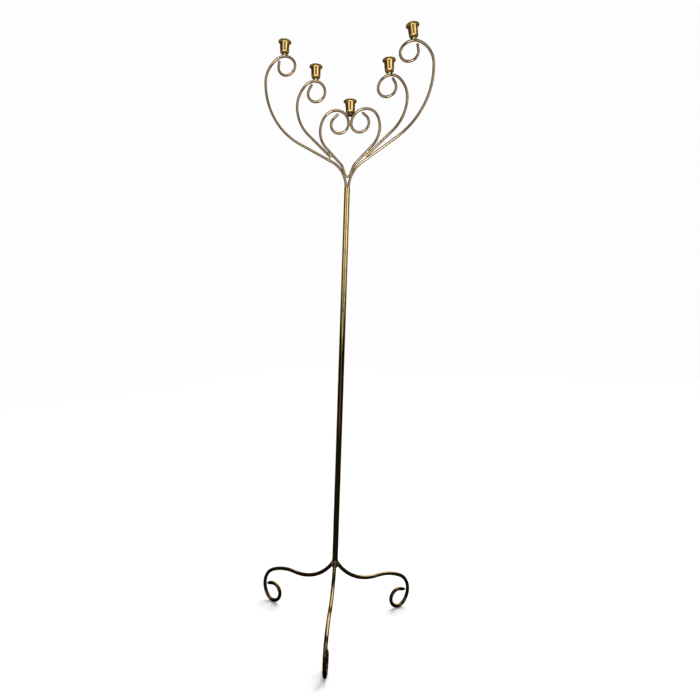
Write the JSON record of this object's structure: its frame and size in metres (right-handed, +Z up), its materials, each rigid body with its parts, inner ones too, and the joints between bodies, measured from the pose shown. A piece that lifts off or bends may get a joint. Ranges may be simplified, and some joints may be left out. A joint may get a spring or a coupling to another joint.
{
  "type": "floor candelabra",
  "caption": "Tall floor candelabra: a slim brass tube on scrolled tripod legs carries a heart-shaped tree of bent rods with flared candle cups.",
  "frame": {"origin": "on the floor, under the middle of the tube", "axes": "+Z up along the tube; the flat tree lies in the XZ plane, and its broad front faces -Y"},
  "size_m": [0.4659, 0.4108, 1.5968],
  "materials": {
    "rod_brass": "brass-finished round rod, satin with darker tarnish",
    "cup_brass": "spun brass, polished, mottled with age",
    "stand_brass": "brass-finished tube and legs, darker towards the floor",
    "braze_metal": "brazing bead, dull and uneven",
    "weld_brass": "weld bead, dressed and brass-finished",
    "spigot_steel": "turned steel"
  },
  "bodies": {
    "stand": {"shaft_tube": "stand_brass", "leg_front": "stand_brass", "leg_left": "stand_brass", "leg_right": "stand_brass", "leg_weld_front": "weld_brass", "leg_weld_left": "weld_brass", "leg_weld_right": "weld_brass"},
    "head": {"head_ferrule": "rod_brass", "head_spigot": "spigot_steel", "outer_arm_left": "rod_brass", "outer_arm_right": "rod_brass", "middle_arm_left": "rod_brass", "middle_arm_right": "rod_brass", "heart_arm_left": "rod_brass", "heart_arm_right": "rod_brass", "throat_tie": "rod_brass", "throat_braze": "braze_metal", "heart_braze": "braze_metal", "middle_braze_left": "braze_metal", "middle_braze_right": "braze_metal", "candle_cup_centre": "cup_brass", "candle_cup_middle_left": "cup_brass", "candle_cup_middle_right": "cup_brass", "candle_cup_outer_left": "cup_brass", "candle_cup_outer_right": "cup_brass", "cup_braze_centre": "braze_metal", "cup_braze_middle_left": "braze_metal", "cup_braze_middle_right": "braze_metal", "cup_braze_outer_left": "braze_metal", "cup_braze_outer_right": "braze_metal"}
  },
  "joints": [
    {"name": "head_swivel", "type": "hinge", "parent": "stand", "child": "head", "pos_m": [0, 0, 1.1675], "axis": [0, 0, 1], "continuous": true}
  ]
}
